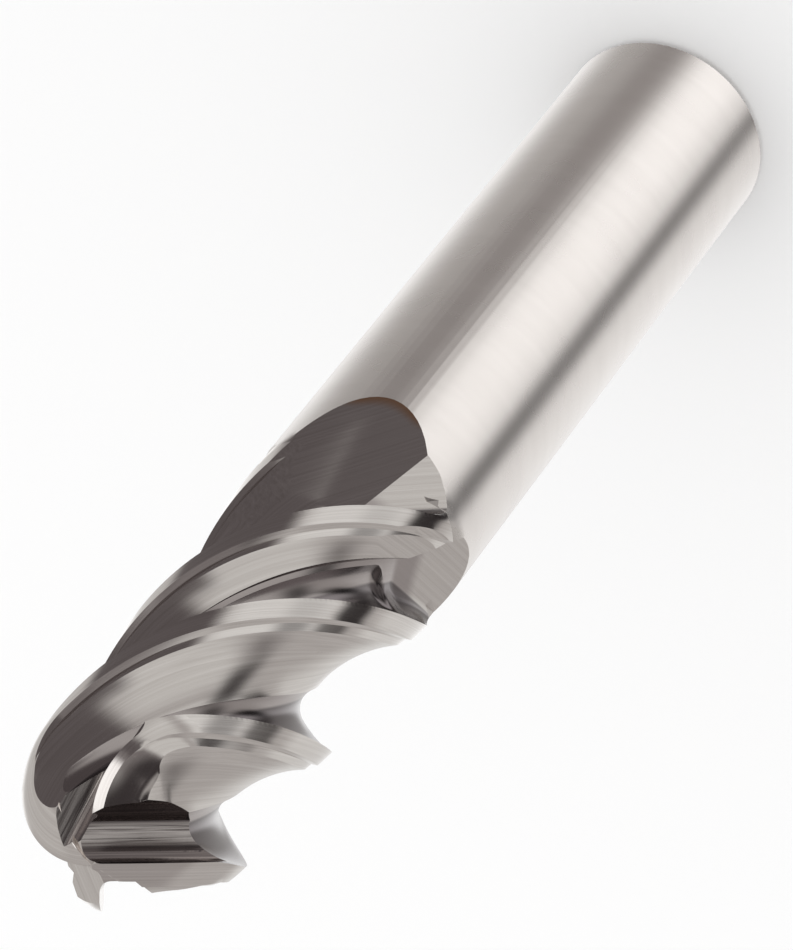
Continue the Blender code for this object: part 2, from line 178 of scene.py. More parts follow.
class MillSizes(bpy.types.PropertyGroup):
    """Sizes of the tool: blank, lands, flutes, exits of the wheels and gashes."""

    diameter: metres("Diameter", "Cutting diameter, which the shank shares", round(2.0 * NODE_HIGH.x, 5))
    length: metres("Overall length", "From the shank end to the nose", round(NODE_HIGH.z, 5))
    cut_length: metres("Length of lands", "Where the relieved lands end, below the nose", 0.0306)
    chamfer: metres("Shank chamfer", "Chamfer round the shank end", 0.0005)
    index: number(
        "Tooth index", "How far each tooth lies behind the first, in degrees", (0.0, 85.5, 180.0, 274.0))
    helix: number("Tooth helix", "Helix angle of each tooth, in degrees", (40.3, 44.0, 40.3, 42.5))
    first_turn: number("First edge", "Angle of the first edge at the ball's equator, in degrees", 4.5)

    land: metres("Primary land", "Width of the primary land", 0.00142)
    land_relief: number("Primary relief", "Relief of the primary land, in degrees", 7.0)
    step_width: metres("Step width", "Width of the ground step between the lands", 0.00018)
    step_depth: metres("Step depth", "Depth of the ground step", 0.00030)
    second_land: metres("Secondary land", "Width of the secondary land", 0.0011)
    second_relief: number("Secondary relief", "Relief of the secondary land, in degrees", 9.0)
    nose_land: metres(
        "Nose lands", "Width of each tooth's land on the ball", (0.00160, 0.00073, 0.00120, 0.00125))
    nose_relief: number(
        "Nose secondary reliefs", "Relief behind each tooth's land on the ball, in degrees",
        (9.0, 35.5, 60.0, 60.0))
    nose_back: metres(
        "Nose backs", "Width of each tooth's relieved back on the ball",
        (0.0014, 0.00105, 0.00045, 0.00045))
    land_runout: metres("Land run-out", "Length over which the lands fade into the shank", 0.0005)

    rake: number("Rake", "Radial rake of the cutting face, in degrees", 10.0)
    core: metres("Core diameter", "Diameter that the roots reach", 0.00635)
    root_radius: metres("Root radius", "Radius between the cutting face and the floor", 0.0018)
    floor_depth: metres("Floor depth", "Distance of the flat floor from the axis", 0.00348)
    floor_angle: number("Floor angle", "Angle of the floor's normal ahead of the edge, in degrees", 8.6)
    floor_reach: metres("Floor reach", "Where the floor ends and the wheel's flank rises", 0.0023)
    floor_flank: number("Floor flank", "Rise of the wheel's flank, in degrees", 60.0)
    back_depth: metres("Back depth", "Distance of the flat back from the axis", 0.00346)
    back_angle: number("Back angle", "Angle of the back's normal behind the edge, in degrees", 70.4)
    back_crown: metres("Back crown", "Crown of the flat back", 0.00006)

    back_dip: metres(
        "Back dip", "Above which height the backs fall towards the nose, below the nose", 0.0031)
    back_dip_slope: number(
        "Back dip slope", "How steeply the backs fall towards the nose, in degrees", 15.7)
    back_exit: metres(
        "Back exits", "Where each back's wheel starts to leave, below the nose",
        (0.0280, 0.0257, 0.0280, 0.0257))
    back_exit_slope: number(
        "Back exit slopes", "How steeply each back's wheel leaves, in degrees", (20.3, 24.0, 20.3, 24.0))
    floor_exit: metres("Floor exit", "Where the floor's wheel starts to leave, below the nose", 0.0278)
    floor_exit_slope: number("Floor exit slope", "How steeply the floor's wheel leaves, in degrees", 28.5)
    root_exit: metres("Root exit", "Where the root's wheel starts to leave, below the nose", 0.0262)
    root_exit_slope: number("Root exit slope", "How steeply the root's wheel leaves, in degrees", 35.0)

    mark_slope: number(
        "Mark slope", "Slope of the wheel's marks on the flats of the exits, in degrees", 49.0)

    gash_turn: number(
        "Gash turns", "Angle of each gash face's normal behind the edge, in degrees",
        (46.6, 46.6, 46.6, 59.7))
    gash_tilt: number(
        "Gash tilts", "Lean of each gash face with the helix, in degrees", (32.6, 32.6, 32.6, 23.5))
    gash_angle: number("Gash angle", "Fall of the gash floors below level, in degrees", 55.0)
    gash_ahead: metres(
        "Gash offsets", "How far each gash face stands ahead of the centre",
        (0.00005, -0.00030, 0.00005, 0.00029))
    gash_reach: metres(
        "Gash reaches", "How far each gash floor passes the centre", (0.00002, -0.00105, 0.00002, -0.00081))
    gash_corner: metres(
        "Gash corners", "Radius in the corner of each gash", (0.00050, 0.00025, 0.00050, 0.00063))
    gash_width: metres("Gash widths", "Width of each gash floor", (0.00203, 0.00161, 0.00203, 0.00182))
    gash_rise: number(
        "Gash floor rises", "Rise of each gash floor away from its face, in degrees",
        (15.0, 0.0, 15.0, 0.0))
    gash_far: number("Gash far walls", "Lean of each gash's far wall, in degrees", (34.0, 27.5, 34.0, 47.5))


class MillFinish(bpy.types.PropertyGroup):
    """Colours of the ground carbide, and the painted shade of its roots and gashes."""

    carbide: tone("Carbide", "Colour of bare ground carbide", (0.75, 0.715, 0.69, 1.0))
    streak: tone("Streaks", "Colour of the darker grinding streaks", (0.60, 0.565, 0.54, 1.0))
    # Painted shade on the roots
    deep: tone("Deep", "Colour of the roots, where little light falls", (0.38, 0.34, 0.335, 1.0))
    # Painted shade on the walls and floors of the darker gashes
    shade: tone("Shade", "Colour of the walls deep in the gashes", (0.30, 0.26, 0.25, 1.0))
    # Darkest painted shade, in the streaks of the darker gashes and in the roots' creases
    darkest_shade: tone("Hollow", "Colour of the darkest marks in the gashes", (0.05, 0.04, 0.045, 1.0))
    tint: tone("Heat tint", "Colour where the wheels left the work hot", (0.62, 0.36, 0.20, 1.0))


class StudioLook(bpy.types.PropertyGroup):
    """Floor, dome and background of the studio."""

    floor: tone("Floor", "Colour of the floor", (1.0, 1.0, 1.0, 1.0))
    backdrop: tone("Backdrop", "Colour of the background", (1.0, 1.0, 1.0, 1.0))
    dome_radius: metres("Dome radius", "Distance of the dome from its centre", 1.5)
    dome_centre: metres("Dome centre", "Height of the dome's centre, near the flutes", 0.06)
    dome_level: number("Dome level", "Brightness of the dome beside its cards", 0.55)


def sind(angle):
    return np.sin(np.radians(angle))


def cosd(angle):
    return np.cos(np.radians(angle))


def tand(angle):
    return np.tan(np.radians(angle))


def acosd(value):
    return np.degrees(np.arccos(np.clip(value, -1.0, 1.0)))


def polar(radius, angle):
    """Points of a section as complex numbers, from radius and angle."""
    return radius * (cosd(angle) + 1j * sind(angle))


def dot(a, b):
    """Scalar product of two points of a section."""
    return a.real * b.real + a.imag * b.imag


def between(low, high, share):
    return low + (high - low) * share


def smooth(value):
    value = np.clip(value, 0.0, 1.0)
    return value * value * (3.0 - 2.0 * value)


def nose_point(sizes):
    return np.array([0.0, 0.0, sizes.length])


def mill_heights(sizes, first, last):
    """Heights below the nose in whole steps from the ball's equator, shared by blank and wheels."""
    radius = sizes.diameter / 2
    low, high = (math.ceil((down - radius) / STEP) for down in (first, last))
    return radius + STEP * np.arange(low, high + 1)


def edge_turn(sizes, tooth, down):
    """Angle of a tooth's edge: its index at the ball's equator, less one turn for every lead gone down."""
    lead = math.pi * sizes.diameter / tand(sizes.helix[tooth])
    return sizes.first_turn - sizes.index[tooth] - 360.0 * (down - sizes.diameter / 2) / lead


def turn_behind_gash(sizes, tooth, polar_angle, distance):
    """Angle on the rings of the ball that lies a distance behind the plane of the tooth's gash face.

    The plane leans by the tilt, so its trace on a ring is where a point's share along the plane's
    normal equals the distance.
    """
    radius = sizes.diameter / 2
    tilt = sizes.gash_tilt[tooth]
    drop = sind(tilt) * (1.0 - cosd(polar_angle))
    across = (distance / radius + drop) / (cosd(tilt) * sind(polar_angle))
    return edge_turn(sizes, tooth, radius) - sizes.gash_turn[tooth] + acosd(across)


def tooth_columns(sizes, tooth, down, polar_angle):
    """Angles and depths, over rows and columns, of one tooth's lands.

    The distance behind the edge runs over the primary land, the ground step, the secondary land and
    the back. The depth is that distance times the tangent of each land's relief, added up. On the
    cylinder distances are measured round the ring, and on the ball square to the gash face.
    """
    radius = sizes.diameter / 2
    down = down[:, None]
    polar_angle = polar_angle[:, None]
    ring_angle = np.minimum(polar_angle, EQUATOR)
    fading = smooth((polar_angle - BALL_LANDS) / (EQUATOR - BALL_LANDS))
    on_ball = np.where(polar_angle < EQUATOR, 1.0 - fading, 0.0)
    step_share = 1.0 - smooth((EQUATOR - polar_angle) / (EQUATOR - STEP_GONE))
    land = between(sizes.land, sizes.nose_land[tooth], on_ball)
    back = between(sizes.second_land, sizes.nose_back[tooth], on_ball)
    relief = between(sizes.second_relief, sizes.nose_relief[tooth], on_ball)
    parts = (2 * FINE, FINE, 3 * FINE)
    shares = [np.linspace(0.0, 1.0, count + 1)[None, :] for count in parts]
    step_width = sizes.step_width * between(LEAST_STEP, 1.0, step_share)
    distance = np.concatenate([
        shares[0] * land, (shares[1] * step_width + land)[:, 1:],
        (shares[2] * back + land + step_width)[:, 1:]], axis=1)
    first = np.minimum(distance, land) * tand(sizes.land_relief)
    step = np.clip((distance - land) / step_width, 0.0, 1.0) * sizes.step_depth * step_share
    second = np.clip(distance - land - step_width, 0.0, None) * tand(relief)
    depth = np.minimum(first + step + second, DEEPEST * radius * sind(ring_angle))
    start = edge_turn(sizes, tooth, down)
    on_gash = turn_behind_gash(sizes, tooth, ring_angle, 0.0)
    edge = np.where(polar_angle < EQUATOR, np.minimum(start, on_gash), start)
    square = on_gash - turn_behind_gash(sizes, tooth, ring_angle, distance)
    behind = between(np.degrees(distance / radius), square, on_ball)
    crowded = CROWD_ROOM * (1.0 - np.exp(-np.clip(behind - CROWD_START, 0.0, None) / CROWD_ROOM))
    angles = edge + EDGE_SPARE - np.minimum(behind, CROWD_START) - crowded
    in_front = turn_behind_gash(sizes, tooth, ring_angle, -AHEAD_GASH) - on_gash
    ahead = edge + between(AHEAD_CYLINDER, np.minimum(in_front, AHEAD_BALL), on_ball)
    return np.concatenate([ahead, angles], axis=1), np.concatenate([0.0 * edge, depth], axis=1)


def blank_rings(sizes, down, polar_angle):
    """Angles and depths of whole rings: every tooth's lands, with even columns filling up to the next."""
    columns = [tooth_columns(sizes, tooth, down, polar_angle) for tooth in range(TEETH)]
    fill = 4 * FINE
    share = (np.arange(fill) + 1.0)[None, :] / (fill + 1.0)
    low, high = FILL_LEVEL
    level = share * (1.0 - smooth((polar_angle[:, None] - low) / (high - low)))
    angles, depths = [], []
    for tooth, (own, depth) in enumerate(columns):
        following = columns[(tooth + 1) % TEETH][0][:, :1] - (360.0 if tooth == TEETH - 1 else 0.0)
        angles += [own, between(own[:, -1:], following, share)]
        depths += [depth, depth[:, -1:] * (1.0 - level)]
    return np.concatenate(angles, axis=1), np.concatenate(depths, axis=1)


def on_rings(radius, angles, height):
    """Points of rows of rings, from their radii, angles and heights."""
    height = np.broadcast_to(height, angles.shape)
    return np.stack([radius * cosd(angles), radius * sind(angles), height], axis=2)


def blank_surface(sizes):
    """Relieved blank on a grid of rows down the tool and columns round it.

    On the ball a point lies at radius less depth from the ball's centre, on the cylinder at radius
    less depth from the axis. Below the lands the columns spread evenly over the plain shank.
    """
    radius = sizes.diameter / 2
    rows = 20 * FINE
    polar_angle = EQUATOR * (np.arange(rows) + 0.4) / rows
    angles, depths = blank_rings(sizes, radius * (1.0 - cosd(polar_angle)), polar_angle)
    reach = radius - depths
    sine, cosine = sind(polar_angle)[:, None], cosd(polar_angle)[:, None]
    ball = on_rings(reach * sine, angles, sizes.length - radius + reach * cosine)
    down = mill_heights(sizes, radius, sizes.cut_length)
    angles, depths = blank_rings(sizes, down, np.full(len(down), EQUATOR))
    angles = np.concatenate([angles, angles[-1:]])
    angles[-1] += edge_turn(sizes, 0, sizes.land_runout) - edge_turn(sizes, 0, 0.0)
    depths = np.concatenate([depths, 0.0 * depths[-1:]])
    down = np.concatenate([down, [down[-1] + sizes.land_runout]])
    columns = angles.shape[1]
    spacing = 360.0 / columns
    offset = float(np.mean(angles[-1] + spacing * np.arange(columns)))
    even = (np.round(offset / spacing) * spacing - spacing * np.arange(columns))[None, :]
    blend = smooth(np.linspace(0.2, 1.0, SPREAD_ROWS))[:, None]
    angles = np.concatenate([angles, between(angles[-1:], even, blend), even, even])
    plain = np.zeros((SPREAD_ROWS + 1, columns))
    depths = np.concatenate([depths, plain, plain[:1] + sizes.chamfer])
    spread = down[-1] + SPREAD_STEP * np.arange(1, SPREAD_ROWS + 1)
    down = np.concatenate([down, spread, [sizes.length - sizes.chamfer, sizes.length]])
    return np.concatenate([ball, on_rings(radius - depths, angles, sizes.length - down[:, None])])


def cells(rows, columns):
    """Corners of the cells of a grid whose columns run round."""
    start = np.arange(rows - 1)[:, None] * columns + np.arange(columns)[None, :]
    beside = np.arange(rows - 1)[:, None] * columns + (np.arange(columns)[None, :] + 1) % columns
    return [part.ravel() for part in (start, beside, beside + columns, start + columns)]


def closed_mesh(name, grid, materials, nose=None):
    """Closed mesh of a grid whose columns run round: two triangles to a cell, split along the shorter
    diagonal, and an end that is flat or drawn to a point."""
    rows, columns = grid.shape[:2]
    points = grid.reshape(-1, 3)
    a, b, c, d = cells(rows, columns)
    long_ac = np.linalg.norm(points[a] - points[c], axis=1) > np.linalg.norm(points[b] - points[d], axis=1)
    upper = np.where(long_ac[:, None], np.stack([a, b, d], 1), np.stack([a, b, c], 1))
    lower = np.where(long_ac[:, None], np.stack([b, c, d], 1), np.stack([a, c, d], 1))
    faces = np.concatenate([upper, lower]).tolist()
    ring = np.arange(columns)
    last = (rows - 1) * columns + ring
    if nose is None:
        faces.append(ring[::-1].tolist())
    else:
        points = np.concatenate([points, nose[None, :]])
        faces += np.stack([np.full(columns, rows * columns), (ring + 1) % columns, ring], 1).tolist()
    faces.append(last.tolist())
    mesh = bpy.data.meshes.new(name)
    mesh.from_pydata(points.tolist(), [], faces)
    for material in materials:
        mesh.materials.append(material)
    mesh.validate()
    made = bpy.data.objects.new(name, mesh)
    bpy.context.scene.collection.objects.link(made)
    return made


def read(items, key, width=1, kind=float):
    """Values of one kind of all of a mesh's items, as an array with a row for each item."""
    values = np.zeros(len(items) * width, kind)
    items.foreach_get(key, values)
    return values if width == 1 else values.reshape(-1, width)


def face_out(made):
    """Turns a closed mesh's faces outwards, by the sign of the volume that its triangles enclose."""
    mesh = made.data
    mesh.calc_loop_triangles()
    p = read(mesh.vertices, "co", 3)[read(mesh.loop_triangles, "vertices", 3, np.int32)]
    if np.einsum("ij,ij->i", p[:, 0], np.cross(p[:, 1], p[:, 2])).sum() < 0.0:
        mesh.flip_normals()


def lifted(down, start, slope):
    """How far a wheel has risen out of the work: nothing until its exit starts, then a straight slope."""
    return np.clip(down - start, 0.0, None) * tand(slope)


def floor_line(sizes, tooth, down):
    """Angle of the floor's normal ahead of the edge, and its distance from the axis.

    Past the start of its exit the floor keeps its turn and rises, while the rake face still follows
    the helix, so the wheel leaves a flat facet.
    """
    held = edge_turn(sizes, tooth, np.minimum(down, sizes.floor_exit)) - edge_turn(sizes, tooth, down)
    rise = lifted(down, sizes.floor_exit, sizes.floor_exit_slope)
    return sizes.floor_angle + held, sizes.floor_depth + rise


def root_centre(sizes, tooth, down):
    """Centre of the root's arc with the edge at angle 0: it touches the rake face and the core, until it
    has risen so far that it touches the floor instead."""
    lean, depth = floor_line(sizes, tooth, down)
    lean = lean - sizes.rake
    offset = sizes.root_radius - sizes.diameter / 2 * sind(sizes.rake)
    reach = sizes.core / 2 + lifted(down, sizes.root_exit, sizes.root_exit_slope) + sizes.root_radius
    touching = (depth + sizes.root_radius - offset * sind(lean)) / cosd(lean)
    return (np.minimum(np.sqrt(reach ** 2 - offset ** 2), touching) + 1j * offset) * polar(1.0, sizes.rake)


def reach_circle(start, direction, radius):
    """Point where a line of a section leaves a circle about the axis."""
    along = dot(start, direction)
    return start + direction * (np.sqrt(along ** 2 + radius ** 2 - np.abs(start) ** 2) - along)


def root_section(sizes, tooth, down):
    """Section of the wheel that grinds a rake face and its root, over rows and columns.

    Round it run the rake face, an arc, the flat floor, a rising flank and an outer arc.
    """
    centre = root_centre(sizes, tooth, down)
    outside = np.maximum(CLEAR * sizes.diameter, np.abs(centre) + 2.0 * sizes.root_radius)
    lean, depth = floor_line(sizes, tooth, down)
    normal = polar(1.0, lean)
    first = sizes.rake - 90.0
    last = lean - 180.0 - acosd((dot(centre, normal) - depth) / sizes.root_radius)
    share = np.linspace(0.0, 1.0, 10 * FINE + 1)[None, :]
    arc = centre[:, None] + polar(sizes.root_radius, between(first, last[:, None], share))
    rake_out = reach_circle(arc[:, 0], polar(1.0, sizes.rake), outside)
    rake = between(arc[:, :1], rake_out[:, None], RAKE_STOPS[None, :])
    floor_end = normal * (depth + 1j * sizes.floor_reach)
    floor = between(arc[:, -1:], floor_end[:, None], np.linspace(0.0, 1.0, 4)[None, 1:])
    flank_out = reach_circle(floor_end, normal * polar(1.0, 90.0 - sizes.floor_flank), outside)
    flank = between(floor_end[:, None], flank_out[:, None], FLANK_STOPS[None, :])
    start, end = (np.degrees(np.angle(point))[:, None] for point in (flank_out, rake_out))
    closing = polar(outside[:, None], between(start, end, CLOSING_STOPS[None, :]))
    turn = polar(1.0, edge_turn(sizes, tooth, down))
    return np.concatenate([rake, arc, floor, flank, closing], axis=1) * turn[:, None]


def dipped(sizes, down):
    """How far the backs have fallen towards the nose at a height."""
    return np.clip(sizes.back_dip - down, 0.0, DIP_REACH) * tand(sizes.back_dip_slope)


def back_section(sizes, tooth, down):
    """Section of the wheel that grinds a tooth's back, over rows and columns.

    Its face is a straight line with a parabola's crown, from over the next root to past the lands.
    Past the start of its exit it keeps its turn and rises, which leaves a flat.
    """
    following = (tooth + 1) % TEETH
    clear = CLEAR * sizes.diameter
    start = sizes.back_exit[tooth]
    depth = sizes.back_depth + lifted(down, start, sizes.back_exit_slope[tooth]) - dipped(sizes, down)
    normal = polar(1.0, edge_turn(sizes, tooth, np.minimum(down, start)) - sizes.back_angle)
    along = normal * 1j
    root = root_centre(sizes, following, down) * polar(1.0, edge_turn(sizes, following, down))
    first = dot(root, along)[:, None]
    last = np.sqrt(clear ** 2 - depth ** 2)[:, None]
    share = np.concatenate([np.linspace(0.0, FACE_END, 9 * FINE + 1), [1.0]])[None, :]
    knot = between(first, last, share)
    crown = sizes.back_crown * np.clip(1.0 - ((knot - CROWN_MIDDLE) / CROWN_HALF) ** 2, 0.0, None)
    face = normal[:, None] * (depth[:, None] + crown) + along[:, None] * knot
    top = (normal * (depth + clear))[:, None] + along[:, None] * np.concatenate([last, first], axis=1)
    return np.concatenate([face, top], axis=1)


def sweep_wheel(name, sizes, section, tooth, last_down, materials):
    """Wheel's cut as a solid: its section at every height, from above the nose to where it is clear."""
    down = mill_heights(sizes, -0.15 * sizes.diameter, last_down)
    points = section(sizes, tooth, down)
    height = np.broadcast_to(sizes.length - down[:, None], points.shape)
    made = closed_mesh(name, np.stack([points.real, points.imag, height], axis=2), materials)
    face_out(made)
    return made


def gash_axes(sizes, tooth):
    """Axes of a tooth's gash: ahead of its face, into its floor and along its run."""
    azimuth = edge_turn(sizes, tooth, sizes.diameter / 2) - sizes.gash_turn[tooth]
    tilt, fall = sizes.gash_tilt[tooth], sizes.gash_angle
    void = np.array([-cosd(tilt) * cosd(azimuth), -cosd(tilt) * sind(azimuth), -sind(tilt)])
    level = np.array([-sind(azimuth), cosd(azimuth), 0.0])
    falling = np.array([sind(tilt) * cosd(azimuth), sind(tilt) * sind(azimuth), -cosd(tilt)])
    return void, cosd(fall) * falling - sind(fall) * level, cosd(fall) * level + sind(fall) * falling


def gash_floor(sizes, tooth):
    """Line of a gash's floor: its end beyond the corner and its end at the far wall, across and deep."""
    corner, rise = sizes.gash_corner[tooth], sizes.gash_rise[tooth]
    ahead, reach = sizes.gash_ahead[tooth], sizes.gash_reach[tooth]
    far = ahead + sizes.gash_width[tooth]
    across = ahead + corner - corner * cosd(90.0 + rise)
    deep = reach - corner + corner * sind(90.0 + rise)
    return across, deep, far, deep - (far - across) * tand(rise)


def gash_wheel(name, sizes, tooth, materials):
    """Straight channel in front of a tooth's edge on the ball.

    Its rake wall leans with the helix, its floor is square to that wall with a rounded corner, and
    its far wall leans away. The profile is carried straight along the channel.
    """
    void, depth, run = gash_axes(sizes, tooth)
    tall, corner = sizes.diameter, sizes.gash_corner[tooth]
    ahead, reach = sizes.gash_ahead[tooth], sizes.gash_reach[tooth]
    turn = np.linspace(0.0, 90.0 + sizes.gash_rise[tooth], 6 * FINE + 1)
    far, foot = gash_floor(sizes, tooth)[2:]
    across = np.concatenate([[ahead], ahead + corner - corner * cosd(turn),
                             [far, far + tall * tand(sizes.gash_far[tooth])]])
    deep = np.concatenate([[reach - tall], reach - corner + corner * sind(turn), [foot, foot - tall]])
    path = np.linspace(-0.6, 1.4, 3) * sizes.diameter
    grid = (nose_point(sizes) + across[None, :, None] * void + deep[None, :, None] * depth
            + path[:, None, None] * run)
    made = closed_mesh(name, grid, materials)
    face_out(made)
    return made


def new_material(name, colour, roughness):
    """Metal with a shader that the finish is linked to; returns material, nodes, links and shader."""
    material = bpy.data.materials.new(name)
    material.use_nodes = True
    nodes, links = material.node_tree.nodes, material.node_tree.links
    shader = nodes["Principled BSDF"]
    shader.inputs["Base Color"].default_value = colour
    shader.inputs["Metallic"].default_value = 1.0
    shader.inputs["Roughness"].default_value = roughness
    return material, nodes, links, shader


def add_node(nodes, kind, **values):
    node = nodes.new(kind)
    for key, value in values.items():
        setattr(node, key, value)
    return node


def feed(tree, socket, value):
    """Links a socket into another, or sets a fixed value there."""
    if isinstance(value, bpy.types.NodeSocket):
        tree.links.new(value, socket)
    else:
        socket.default_value = value


def worked_out(tree, operation, *values):
    """Output of a mathematics node whose inputs are sockets or numbers."""
    node = add_node(tree.nodes, "ShaderNodeMath", operation=operation)
    for socket, value in zip(node.inputs, values):
        feed(tree, socket, value)
    return node.outputs[0]


def mixed(tree, share, colour, other):
    """Mix of two colours by a share, each a socket or fixed."""
    mix = add_node(tree.nodes, "ShaderNodeMix", data_type="RGBA")
    for index, value in zip(MIX_INPUTS, (share, colour, other)):
        feed(tree, mix.inputs[index], value)
    return mix.outputs[MIX_OUTPUT]


def ranged(tree, value, start, end, low=0.0, high=1.0, kind="SMOOTHSTEP"):
    """A change from low to high, smooth or linear, while a value goes from start to end."""
    change = add_node(tree.nodes, "ShaderNodeMapRange", interpolation_type=kind)
    for key, limit in (("From Min", start), ("From Max", end), ("To Min", low), ("To Max", high)):
        change.inputs[key].default_value = limit
    tree.links.new(value, change.inputs["Value"])
    return change.outputs["Result"]


def noise(tree, vector, scale, detail, roughness=0.5):
    """Noise on a vector, with its scale, its detail and how rough that detail is."""
    node = add_node(tree.nodes, "ShaderNodeTexNoise")
    for key, value in (("Vector", vector), ("Scale", scale), ("Detail", detail), ("Roughness", roughness)):
        feed(tree, node.inputs[key], value)
    return node.outputs["Fac"]


def stretched(tree, vector, stretch):
    """A vector with each of its numbers multiplied."""
    node = add_node(tree.nodes, "ShaderNodeMapping")
    node.inputs["Scale"].default_value = stretch
    tree.links.new(vector, node.inputs["Vector"])
    return node.outputs["Vector"]


def parted(tree, vector):
    """The three numbers of a vector, as the outputs X, Y and Z."""
    node = add_node(tree.nodes, "ShaderNodeSeparateXYZ")
    tree.links.new(vector, node.inputs["Vector"])
    return node.outputs


def flow_vector(tree):
    return add_node(tree.nodes, "ShaderNodeAttribute", attribute_name="wheel_flow").outputs["Vector"]


def object_vector(tree):
    return add_node(tree.nodes, "ShaderNodeTexCoord").outputs["Object"]


def streaked_metal(name, colours, vector, stretch, contrast, depth, roughness):
    """Ground metal whose streaks run along one direction of a stretched vector.

    One noise gives the fine lines of the wheel, for bump and colour. A slower one varies the roughness.
    """
    material, nodes, links, shader = new_material(name, colours[1], roughness)
    tree = material.node_tree
    lines = noise(tree, stretched(tree, vector(tree), stretch), 1.0, 4.0, 0.6)
    ramp = add_node(nodes, "ShaderNodeValToRGB")
    ends = (RAMP_START, RAMP_START + contrast)
    for element, place, colour in zip(ramp.color_ramp.elements, ends, colours):
        element.position = place
        element.color = colour
    links.new(lines, ramp.inputs["Fac"])
    cloud = noise(tree, object_vector(tree), CLOUD_SCALE, 3.0)
    low, high = (roughness * (1.0 + way * CLOUD_SPREAD) for way in (-1.0, 1.0))
    links.new(ranged(tree, cloud, 0.0, 1.0, low, high, "LINEAR"), shader.inputs["Roughness"])
    bump = add_node(nodes, "ShaderNodeBump")
    bump.inputs["Strength"].default_value = 1.0
    bump.inputs["Distance"].default_value = depth
    links.new(lines, bump.inputs["Height"])
    links.new(bump.outputs["Normal"], shader.inputs["Normal"])
    return material, shader, ramp.outputs["Color"]


def make_finishes(finish, sizes):
    """The finishes of the tool, in the order of its material slots."""
    plain = (finish.streak, finish.carbide)
    even = tuple([between(low, high, share) for low, high in zip(*plain)] for share in SHANK_SHARES)
    # The shaded gashes' streaks run between two colours of painted shade
    ranges = {SHANK: even, SHADED_GASH: (finish.darkest_shade, finish.shade)}
    made = []
    for slot, (name, stretch, contrast, depth, roughness) in enumerate(FINISHES):
        vector = object_vector if slot == SHANK else flow_vector
        material, shader, colour = streaked_metal(
            name, ranges.get(slot, plain), vector, stretch, contrast, depth, roughness)
        tree = material.node_tree
        # Painted shade on the roots, darkest in the crease under the rake face
        if slot == ROOT:
            colour = mixed(tree, root_shade_mask(tree, sizes), colour, finish.deep)
            colour = mixed(tree, crease_shade_mask(tree), colour, finish.darkest_shade)
        if slot in (BACK, ROOT):
            colour = mixed(tree, heat_mask(tree, sizes), colour, finish.tint)
        # The shaded gashes are painted shade, broken by streaks of bare carbide on their floors
        if slot == SHADED_GASH:
            colour = mixed(tree, gash_mask(tree), colour, finish.carbide)
        tree.links.new(colour, shader.inputs["Base Color"])
        made.append(material)
    return made


def heat_mask(tree, sizes):
    """Most where the wheels left the work hot: on the flats of the exits, close to the shank's surface."""
    place = parted(tree, object_vector(tree))
    squares = [worked_out(tree, "POWER", place[axis], 2.0) for axis in ("X", "Y")]
    distance = worked_out(tree, "SQRT", worked_out(tree, "ADD", *squares))
    near, far = (share * sizes.diameter / 2 for share in HEAT_NEAR)
    start, end = (sizes.length - down for down in HEAT_DOWN)
    return worked_out(tree, "MULTIPLY", ranged(tree, distance, near, far, 0.0, HEAT_MOST),
                      ranged(tree, place["Z"], start, end))


def root_shade_mask(tree, sizes):
    """Painted shade on the roots: most down to where they run out, nothing on the flats of the exits."""
    start, end = (sizes.length - down for down in ROOT_SHADE_DOWN)
    return ranged(tree, parted(tree, object_vector(tree))["Z"], start, end, 0.0, ROOT_SHADE_MOST)


def crease_shade_mask(tree):
    """Painted shade in the crease: most in the arc under the rake face, nothing on the flat floor."""
    return ranged(tree, parted(tree, flow_vector(tree))["Y"], *CREASE_SHADE_EDGE, CREASE_SHADE_MOST, 0.0)


def gash_mask(tree):
    """Streaks of bare carbide on the floor of a gash, between the painted shade of its corner and of its
    far wall.
    """
    vector = flow_vector(tree)
    ahead = parted(tree, vector)["X"]
    floor = worked_out(tree, "MULTIPLY", *(ranged(tree, ahead, *ends) for ends in GASH_LIGHT))
    streaks = noise(tree, stretched(tree, vector, GASH_STRETCH), 1.0, 2.0)
    return worked_out(tree, "MULTIPLY", floor, ranged(tree, streaks, *GASH_STREAKS))


def mark_creases(mesh):
    """Smooth faces, with sharp edges where two finishes meet or the faces turn by more than an angle."""
    slots = read(mesh.polygons, "material_index", 1, np.int32)
    normals = read(mesh.polygons, "normal", 3)
    edges = read(mesh.loops, "edge_index", 1, np.int32)
    owner = np.repeat(np.arange(len(slots)), read(mesh.polygons, "loop_total", 1, np.int32))
    order = np.argsort(edges, kind="stable")
    edges, owner = edges[order], owner[order]
    pairs = np.flatnonzero(edges[:-1] == edges[1:])
    one, two = owner[pairs], owner[pairs + 1]
    turned = np.einsum("ij,ij->i", normals[one], normals[two]) < cosd(SHARP)
    sharp = np.zeros(len(mesh.edges), bool)
    sharp[edges[pairs]] = turned | (slots[one] != slots[two])
    mesh.shade_smooth()
    attribute = mesh.attributes.get("sharp_edge") or mesh.attributes.new("sharp_edge", "BOOLEAN", "EDGE")
    attribute.data.foreach_set("value", sharp)


def wheel_frame(sizes, place, down, turn, start, rise):
    """Points in a wheel's section, with its turn, its rise and the later turn of its marks taken off."""
    shift = lifted(down, start, sizes.mark_slope) * 1j
    return (place[:, 0] + 1j * place[:, 1]) * polar(1.0, -turn) - rise + shift


def back_frame(sizes, tooth, place, down):
    """Points of a back in its wheel's section."""
    start = sizes.back_exit[tooth]
    turn = edge_turn(sizes, tooth, np.minimum(down, start)) - sizes.back_angle
    rise = lifted(down, start, sizes.back_exit_slope[tooth]) - dipped(sizes, down)
    return wheel_frame(sizes, place, down, turn, start, rise)


def floor_frame(sizes, tooth, place, down):
    """Points of a flute's floor in its wheel's section."""
    turn = edge_turn(sizes, tooth, np.minimum(down, sizes.floor_exit)) + sizes.floor_angle
    rise = lifted(down, sizes.floor_exit, sizes.floor_exit_slope)
    return wheel_frame(sizes, place, down, turn, sizes.floor_exit, rise)


